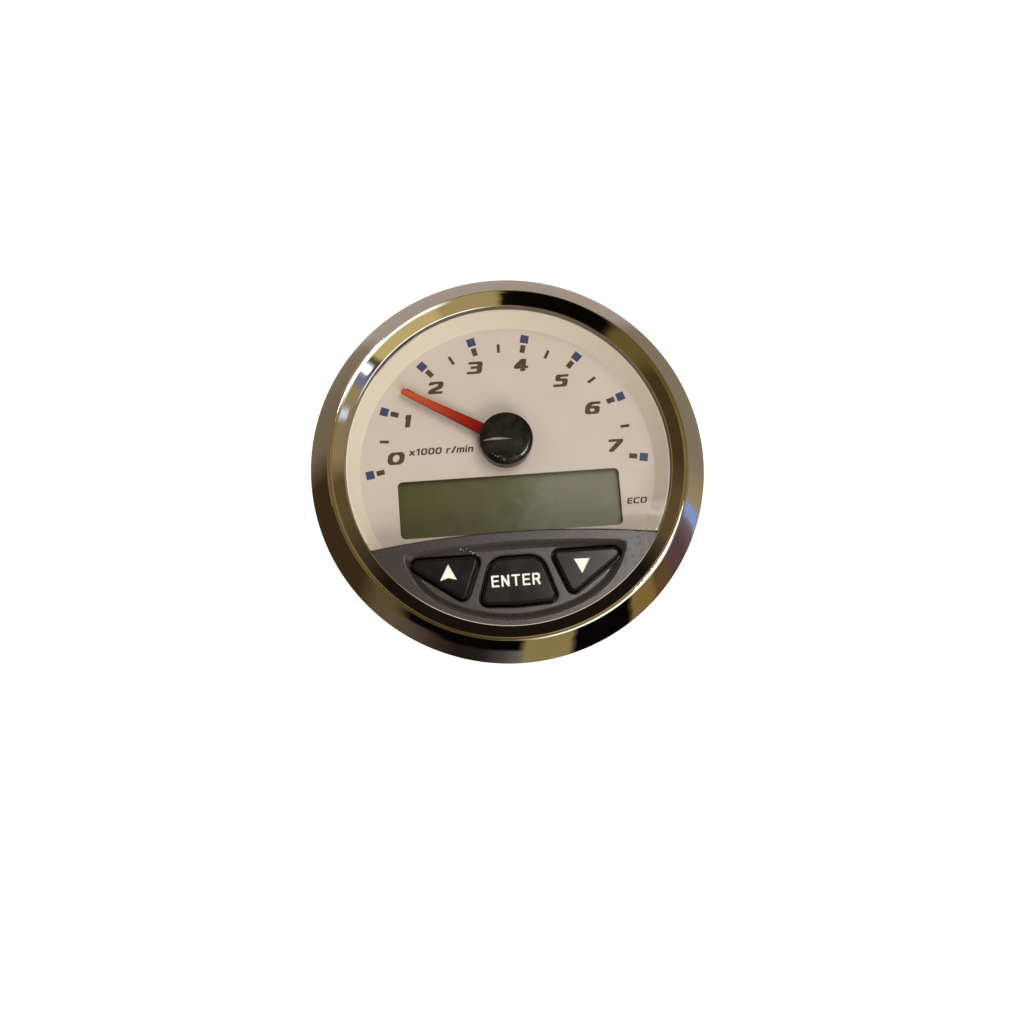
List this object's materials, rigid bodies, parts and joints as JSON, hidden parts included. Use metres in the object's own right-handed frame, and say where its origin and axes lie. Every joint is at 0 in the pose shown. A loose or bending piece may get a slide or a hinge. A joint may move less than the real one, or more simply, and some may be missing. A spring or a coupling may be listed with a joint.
{
  "type": "digital tachometer",
  "caption": "Round dash instrument: chrome bezel, cream pointer dial with a small display window, grey key panel, flanged black case with rear studs and round sockets.",
  "frame": {"origin": "where the gauge's axis crosses the face of the dash panel, at the flange's underside", "axes": "+Z out of the dial towards the viewer, +Y towards twelve o'clock, +X towards three o'clock"},
  "size_m": [0.101, 0.101, 0.0604],
  "materials": {
    "chrome_trim": "polished chrome plating on a moulded ring",
    "lens_glass": "clear polished pane",
    "seal_rubber": "soft black rubber",
    "case_black": "fine moulded texture",
    "panel_grey": "grained dark grey moulding",
    "key_black": "soft black key tops",
    "part_white": "plain white moulding",
    "ring_cream": "satin cream moulding",
    "dial_cream": "fine matt printed face",
    "display_olive": "blank reflective display",
    "part_black": "plain black moulding",
    "strip_rubber": "soft layered rubber",
    "board_green": "lacquered circuit board",
    "screw_steel": "zinc plated",
    "pointer_red": "satin red paint",
    "hub_black": "glossy black moulding",
    "can_aluminium": "plain can with a sleeve",
    "led_yellow": "small lamp bodies",
    "stud_brass": "turned and threaded",
    "shell_nickel": "nickel plated",
    "contact_gold": "plated contacts",
    "lead_red": "insulated wire"
  },
  "bodies": {
    "instrument": {"bezel": "chrome_trim", "lens": "lens_glass", "lens_gasket": "seal_rubber", "dash_gasket": "seal_rubber", "case": "case_black", "button_panel": "panel_grey", "key_switches": "part_black", "button_board": "board_green", "panel_screws": "screw_steel", "board_header": "part_black", "spacer_ring": "ring_cream", "dial": "dial_cream", "lcd_frame": "part_black", "lcd_cell": "display_olive", "lcd_light_guide": "part_white", "lcd_contact_strips": "strip_rubber", "light_housing": "part_white", "stepper_motor": "part_white", "main_board": "board_green", "board_chips": "part_black", "capacitors": "can_aluminium", "board_leds": "led_yellow", "module_screws": "screw_steel", "mounting_studs": "stud_brass", "connector_shells": "shell_nickel", "connector_nuts": "shell_nickel", "connector_inserts": "part_black", "connector_pins": "contact_gold", "connector_leads": "lead_red", "vent_plug": "part_black"},
    "pointer": {"pointer": "pointer_red", "hub_cap": "hub_black", "pointer_shaft": "screw_steel"},
    "up_button": {"up_button": "key_black", "up_plunger": "part_white"},
    "enter_button": {"enter_button": "key_black", "enter_plunger": "part_white"},
    "down_button": {"down_button": "key_black", "down_plunger": "part_white"}
  },
  "joints": [
    {"name": "pointer_sweep", "type": "hinge", "parent": "instrument", "child": "pointer", "pos_m": [0, 0.0073, 0], "axis": [0, 0, 1], "range_deg": [-161.7, 42.3]},
    {"name": "up_press", "type": "slide", "parent": "instrument", "child": "up_button", "axis": [0, 0, -1], "range_m": [0, 0.0008], "stiffness_N_per_m": 1000, "springref_m": -0.0005},
    {"name": "enter_press", "type": "slide", "parent": "instrument", "child": "enter_button", "axis": [0, 0, -1], "range_m": [0, 0.0008], "stiffness_N_per_m": 1000, "springref_m": -0.0005},
    {"name": "down_press", "type": "slide", "parent": "instrument", "child": "down_button", "axis": [0, 0, -1], "range_m": [0, 0.0008], "stiffness_N_per_m": 1000, "springref_m": -0.0005}
  ]
}
